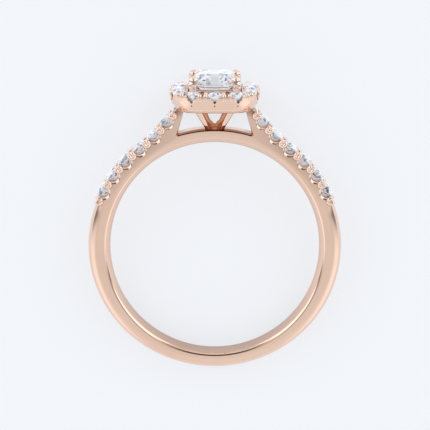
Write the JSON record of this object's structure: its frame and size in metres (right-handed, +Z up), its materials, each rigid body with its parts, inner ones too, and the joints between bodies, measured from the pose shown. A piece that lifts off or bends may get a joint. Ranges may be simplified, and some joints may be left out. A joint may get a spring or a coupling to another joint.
{
  "type": "diamond engagement ring",
  "caption": "Rose gold ring lying on its side: a square centre stone with cut corners in a raised prong basket, a cushion halo, an open gallery and stone-set shoulders.",
  "frame": {"origin": "on the floor, under the middle of the ring's whole length from the palm to the centre stone's table", "axes": "+Y from the palm towards the head and its stones, +Z up from the floor, close to the finger bore's axis, +X across the ring"},
  "size_m": [0.0206, 0.0244, 0.0072],
  "materials": {
    "rose_gold": "polished",
    "diamond": "clear, facet cut"
  },
  "bodies": {
    "root": {"ring_body": "rose_gold", "centre_stone": "diamond", "halo_stone_01": "diamond", "halo_stone_02": "diamond", "halo_stone_03": "diamond", "halo_stone_04": "diamond", "halo_stone_05": "diamond", "halo_stone_06": "diamond", "halo_stone_07": "diamond", "halo_stone_08": "diamond", "halo_stone_09": "diamond", "halo_stone_10": "diamond", "halo_stone_11": "diamond", "halo_stone_12": "diamond", "shoulder_stone_left_1": "diamond", "shoulder_stone_left_2": "diamond", "shoulder_stone_left_3": "diamond", "shoulder_stone_left_4": "diamond", "shoulder_stone_left_5": "diamond", "shoulder_stone_left_6": "diamond", "shoulder_stone_left_7": "diamond", "shoulder_stone_right_1": "diamond", "shoulder_stone_right_2": "diamond", "shoulder_stone_right_3": "diamond", "shoulder_stone_right_4": "diamond", "shoulder_stone_right_5": "diamond", "shoulder_stone_right_6": "diamond", "shoulder_stone_right_7": "diamond"}
  },
  "joints": []
}
